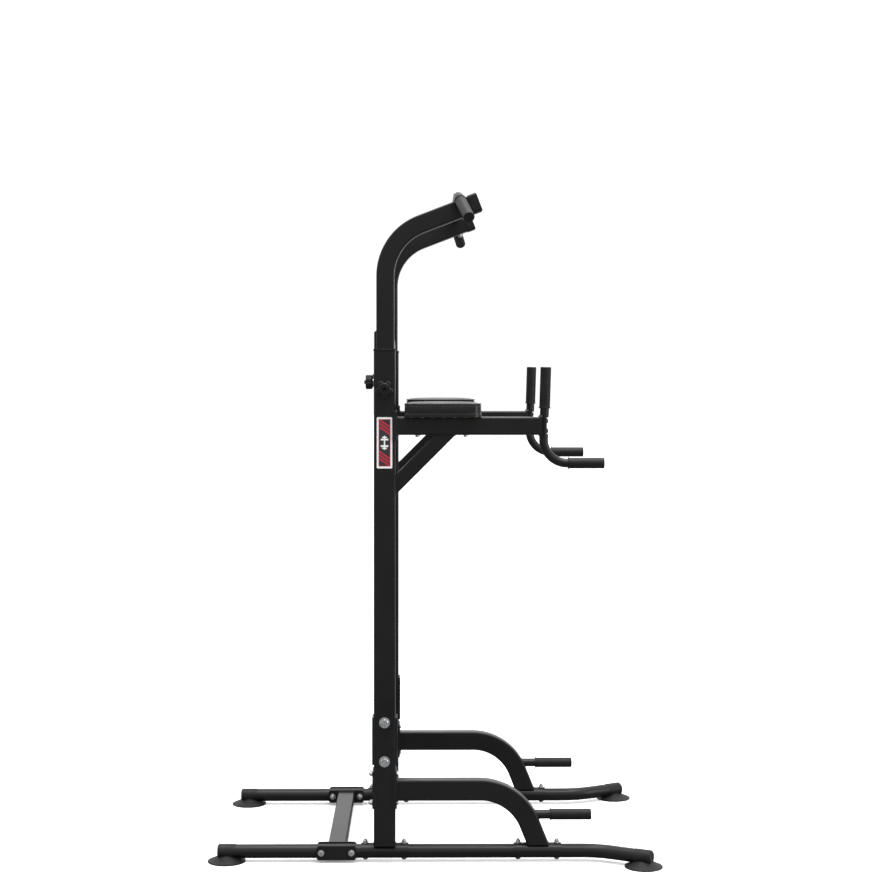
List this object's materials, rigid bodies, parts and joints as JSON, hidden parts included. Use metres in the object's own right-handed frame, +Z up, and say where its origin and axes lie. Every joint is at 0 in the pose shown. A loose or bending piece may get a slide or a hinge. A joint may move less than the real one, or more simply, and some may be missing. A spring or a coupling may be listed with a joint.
{
  "type": "power tower",
  "caption": "Free-standing power tower with a telescoping pull-up bar, dip arms with elbow pads, push-up handles and suction feet",
  "frame": {"origin": "on the floor, at the bottom centre of the whole tower's box", "axes": "+Z up, -Y to the front where the user stands, +X to the right as seen from the front"},
  "size_m": [1.044, 1.259, 1.8637],
  "materials": {
    "black_powder_coat": "satin black powder coat on steel tube",
    "zinc_plated_steel": "bright zinc plate",
    "black_bolts": "black oxide steel",
    "grip_rubber": "smooth, slightly glossy black rubber",
    "foot_rubber": "matt black moulded rubber",
    "plywood": "bare plywood",
    "vinyl": "black grained vinyl over foam",
    "black_plastic": "black moulded plastic",
    "decal_film": null
  },
  "bodies": {
    "frame": {"rail_left": "black_powder_coat", "rail_right": "black_powder_coat", "foot_rear_left": "foot_rubber", "foot_rear_right": "foot_rubber", "foot_front_left": "foot_rubber", "foot_front_right": "foot_rubber", "base_post_left": "black_powder_coat", "base_post_right": "black_powder_coat", "j_brace_left": "black_powder_coat", "j_brace_right": "black_powder_coat", "brace_back_plates": "black_powder_coat", "push_up_grip_left": "grip_rubber", "push_up_grip_right": "grip_rubber", "rear_cross_beam": "black_powder_coat", "beam_clamp_plates": "black_powder_coat", "lower_cross_member": "black_powder_coat", "splice_sleeve_left": "zinc_plated_steel", "splice_sleeve_right": "zinc_plated_steel", "upright_left": "black_powder_coat", "upright_right": "black_powder_coat", "bushing_left": "black_plastic", "bushing_right": "black_plastic", "arm_left": "black_powder_coat", "arm_right": "black_powder_coat", "elbow_pad_left": "vinyl", "elbow_pad_right": "vinyl", "elbow_pad_board_left": "plywood", "elbow_pad_board_right": "plywood", "dip_handle_left": "black_powder_coat", "dip_handle_right": "black_powder_coat", "dip_grip_upper_left": "grip_rubber", "dip_grip_upper_right": "grip_rubber", "dip_grip_lower_left": "grip_rubber", "dip_grip_lower_right": "grip_rubber", "back_frame": "black_powder_coat", "back_pad": "vinyl", "back_pad_board": "plywood", "clamp_nuts": "black_powder_coat", "pin_barrels": "zinc_plated_steel", "saddle_bolts": "zinc_plated_steel", "cross_beam_bolts": "zinc_plated_steel", "cross_member_bolts": "zinc_plated_steel", "brace_bolts": "zinc_plated_steel", "handle_bolts": "black_bolts", "pad_bolts": "zinc_plated_steel", "back_pad_screws": "zinc_plated_steel", "decals": "decal_film"},
    "mast": {"mast_tube_left": "black_powder_coat", "mast_tube_right": "black_powder_coat", "mast_end_caps": "black_plastic", "pull_up_bar": "black_powder_coat", "pull_up_grip_left": "grip_rubber", "pull_up_grip_right": "grip_rubber", "bar_bolts": "zinc_plated_steel"},
    "clamp_knob_left": {"clamp_knob_left": "black_plastic"},
    "pull_pin_left": {"pull_pin_left": "black_plastic"},
    "clamp_knob_right": {"clamp_knob_right": "black_plastic"},
    "pull_pin_right": {"pull_pin_right": "black_plastic"}
  },
  "joints": [
    {"name": "mast_height", "type": "slide", "parent": "frame", "child": "mast", "axis": [0, 0, 1], "range_m": [-0.195, 0.26]},
    {"name": "clamp_knob_turn_left", "type": "hinge", "parent": "frame", "child": "clamp_knob_left", "pos_m": [-0.35, 0.137, 1.314], "axis": [-1, 0, 0], "continuous": true},
    {"name": "pull_pin_slide_left", "type": "slide", "parent": "frame", "child": "pull_pin_left", "axis": [0, 1, 0], "range_m": [0, 0.012], "stiffness_N_per_m": 900, "springref_m": -0.004},
    {"name": "clamp_knob_turn_right", "type": "hinge", "parent": "frame", "child": "clamp_knob_right", "pos_m": [0.35, 0.137, 1.314], "axis": [1, 0, 0], "continuous": true},
    {"name": "pull_pin_slide_right", "type": "slide", "parent": "frame", "child": "pull_pin_right", "axis": [0, 1, 0], "range_m": [0, 0.012], "stiffness_N_per_m": 900, "springref_m": -0.004}
  ]
}
